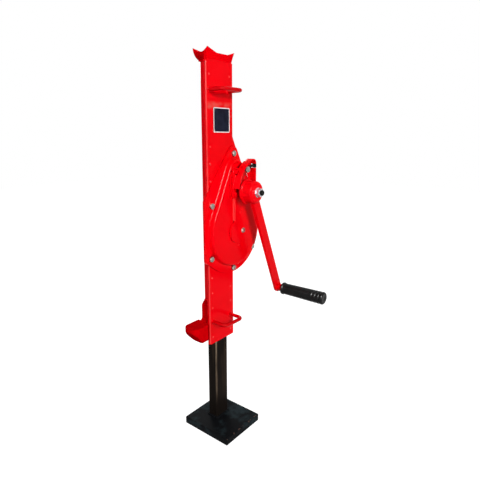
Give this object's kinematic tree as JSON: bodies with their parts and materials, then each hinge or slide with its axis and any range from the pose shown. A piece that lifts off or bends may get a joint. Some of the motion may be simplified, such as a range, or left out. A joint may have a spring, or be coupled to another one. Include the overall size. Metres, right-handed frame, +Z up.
{
  "type": "rack jack",
  "caption": "Hand-cranked rack jack: a toothed steel bar stands on a base plate, and a red sheet-steel housing with horned head and claw climbs it through a gear train.",
  "frame": {"origin": "floor level, under the axis of the rack", "axes": "+Z up along the rack, claw towards -X, crank side towards -Y"},
  "size_m": [0.2768, 0.2838, 0.965],
  "materials": {
    "black_steel": "black paint over steel, worn on the edges",
    "red_paint": "gloss red enamel",
    "zinc": "zinc plated",
    "bronze": "turned bronze",
    "gear_steel": "oiled steel",
    "friction": "brake lining",
    "black_plastic": "matt black",
    "dark_plate": "blank dark plate with a pale border"
  },
  "bodies": {
    "stand": {"base_plate": "black_steel", "rack": "black_steel", "foot_weld": "black_steel"},
    "lift": {"front_plate": "red_paint", "housing_channel": "red_paint", "gear_case": "red_paint", "rear_bearing_plate": "red_paint", "gear_cover": "red_paint", "cover_bolts": "zinc", "weld_nuts": "red_paint", "grease_plug": "zinc", "bearing_rivets": "red_paint", "main_front_bush": "bronze", "main_rear_bush": "bronze", "mid_front_bush": "bronze", "mid_rear_bush": "bronze", "crank_front_bush": "bronze", "crank_rear_bush": "bronze", "lower_guide": "bronze", "upper_guide": "bronze", "thrust_pad": "bronze", "ratchet_housing": "red_paint", "housing_bolts": "red_paint", "ratchet_wheel": "gear_steel", "brake_discs": "friction", "pawl_bolt": "zinc", "pawl_spring": "gear_steel", "jack_head": "red_paint", "claw": "red_paint", "claw_welds": "red_paint", "upper_handle": "red_paint", "lower_handle": "red_paint", "handle_welds": "red_paint", "nameplate": "dark_plate", "nameplate_rivets": "zinc"},
    "main_shaft": {"rack_pinion": "gear_steel", "main_gear": "gear_steel"},
    "mid_shaft": {"mid_pinion": "gear_steel", "mid_gear": "gear_steel"},
    "crank": {"drive_pinion": "gear_steel", "crank_hub": "red_paint", "crank_arm": "red_paint", "crank_washer": "zinc", "crank_nut": "zinc", "grip_spindle": "red_paint", "grip_nut": "zinc"},
    "grip": {"grip": "black_plastic", "grip_cap": "black_plastic"},
    "pawl": {"pawl": "gear_steel"}
  },
  "joints": [
    {"name": "lift_slide", "type": "slide", "parent": "stand", "child": "lift", "axis": [0, 0, 1], "range_m": [-0.222, 0.128]},
    {"name": "main_turn", "type": "hinge", "parent": "lift", "child": "main_shaft", "pos_m": [0.03575, 0, 0.538], "axis": [0, -1, 0], "range_deg": [-848, 489]},
    {"name": "mid_turn", "type": "hinge", "parent": "lift", "child": "mid_shaft", "pos_m": [0.06816, 0, 0.61549], "axis": [0, 1, 0], "range_deg": [-5088, 2934]},
    {"name": "crank_turn", "type": "hinge", "parent": "lift", "child": "crank", "pos_m": [0.045, 0, 0.64], "axis": [0, -1, 0], "range_deg": [-11440, 6595]},
    {"name": "grip_turn", "type": "hinge", "parent": "crank", "child": "grip", "pos_m": [0.16222, -0.16, 0.36385], "axis": [0, -1, 0], "continuous": true},
    {"name": "pawl_swing", "type": "hinge", "parent": "lift", "child": "pawl", "pos_m": [0.0465, -0.057, 0.6935], "axis": [0, 1, 0], "range_deg": [0, 6], "stiffness_Nm_per_rad": 0.05, "springref_deg": -20.05}
  ],
  "couplings": [
    {"joint": "lift_slide", "follows": "crank_turn", "m_per_rad": 0.0011111},
    {"joint": "main_turn", "follows": "crank_turn", "ratio": 0.074074},
    {"joint": "mid_turn", "follows": "crank_turn", "ratio": 0.44444}
  ]
}
